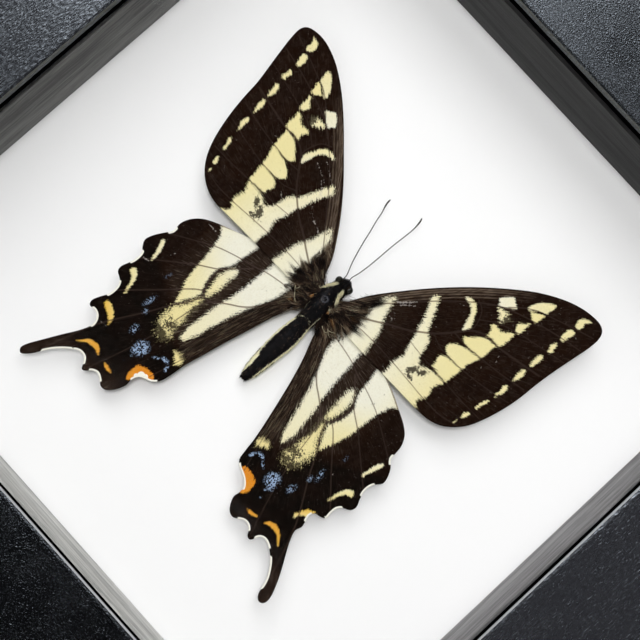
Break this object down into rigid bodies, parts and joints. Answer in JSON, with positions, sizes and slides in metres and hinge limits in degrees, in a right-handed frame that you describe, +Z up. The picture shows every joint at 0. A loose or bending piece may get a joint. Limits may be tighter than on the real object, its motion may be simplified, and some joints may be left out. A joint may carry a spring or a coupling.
{
  "type": "framed butterfly specimen",
  "caption": "Swallowtail butterfly spread and pinned on a white board in a square black glazed box frame that stands or hangs.",
  "frame": {"origin": "under the middle of the bottom rail, where the case stands, at mid depth", "axes": "+Z up, the glazed front faces -Y, +X to the right seen from the front"},
  "size_m": [0.2, 0.04, 0.2],
  "materials": {
    "black_rail": "black, embossed open-grain texture, satin",
    "clear_glass": "clear float glass",
    "dark_spacer": "dark grey-black stained grain, matte",
    "white_board": "white paper face, matte",
    "hardboard": "brown pressed fibre, smooth face",
    "zinc_steel": "zinc plated",
    "black_enamel": "black enamelled steel pin",
    "body_hair": "black scales and hair with pale yellow side lines",
    "antenna_horn": "dark grey horn, fine rings",
    "wing_scales": "dark brown-black scales with cream, yellow, orange and blue markings"
  },
  "bodies": {
    "root": {"frame_rail_bottom": "black_rail", "frame_rail_right": "black_rail", "frame_rail_top": "black_rail", "frame_rail_left": "black_rail", "glass_pane": "clear_glass", "spacer_bottom": "dark_spacer", "spacer_right": "dark_spacer", "spacer_top": "dark_spacer", "spacer_left": "dark_spacer", "mount_board": "white_board", "backboard": "hardboard", "retaining_tab_bottom_a": "zinc_steel", "retaining_tab_bottom_b": "zinc_steel", "retaining_tab_right_a": "zinc_steel", "retaining_tab_right_b": "zinc_steel", "retaining_tab_top_a": "zinc_steel", "retaining_tab_top_b": "zinc_steel", "retaining_tab_left_a": "zinc_steel", "retaining_tab_left_b": "zinc_steel", "hanger_plate": "zinc_steel", "hanger_screw_left": "zinc_steel", "hanger_screw_right": "zinc_steel", "insect_pin": "black_enamel", "butterfly_body": "body_hair", "antenna_left": "antenna_horn", "antenna_right": "antenna_horn", "forewing_left": "wing_scales", "forewing_right": "wing_scales", "hindwing_left": "wing_scales", "hindwing_right": "wing_scales"}
  },
  "joints": []
}
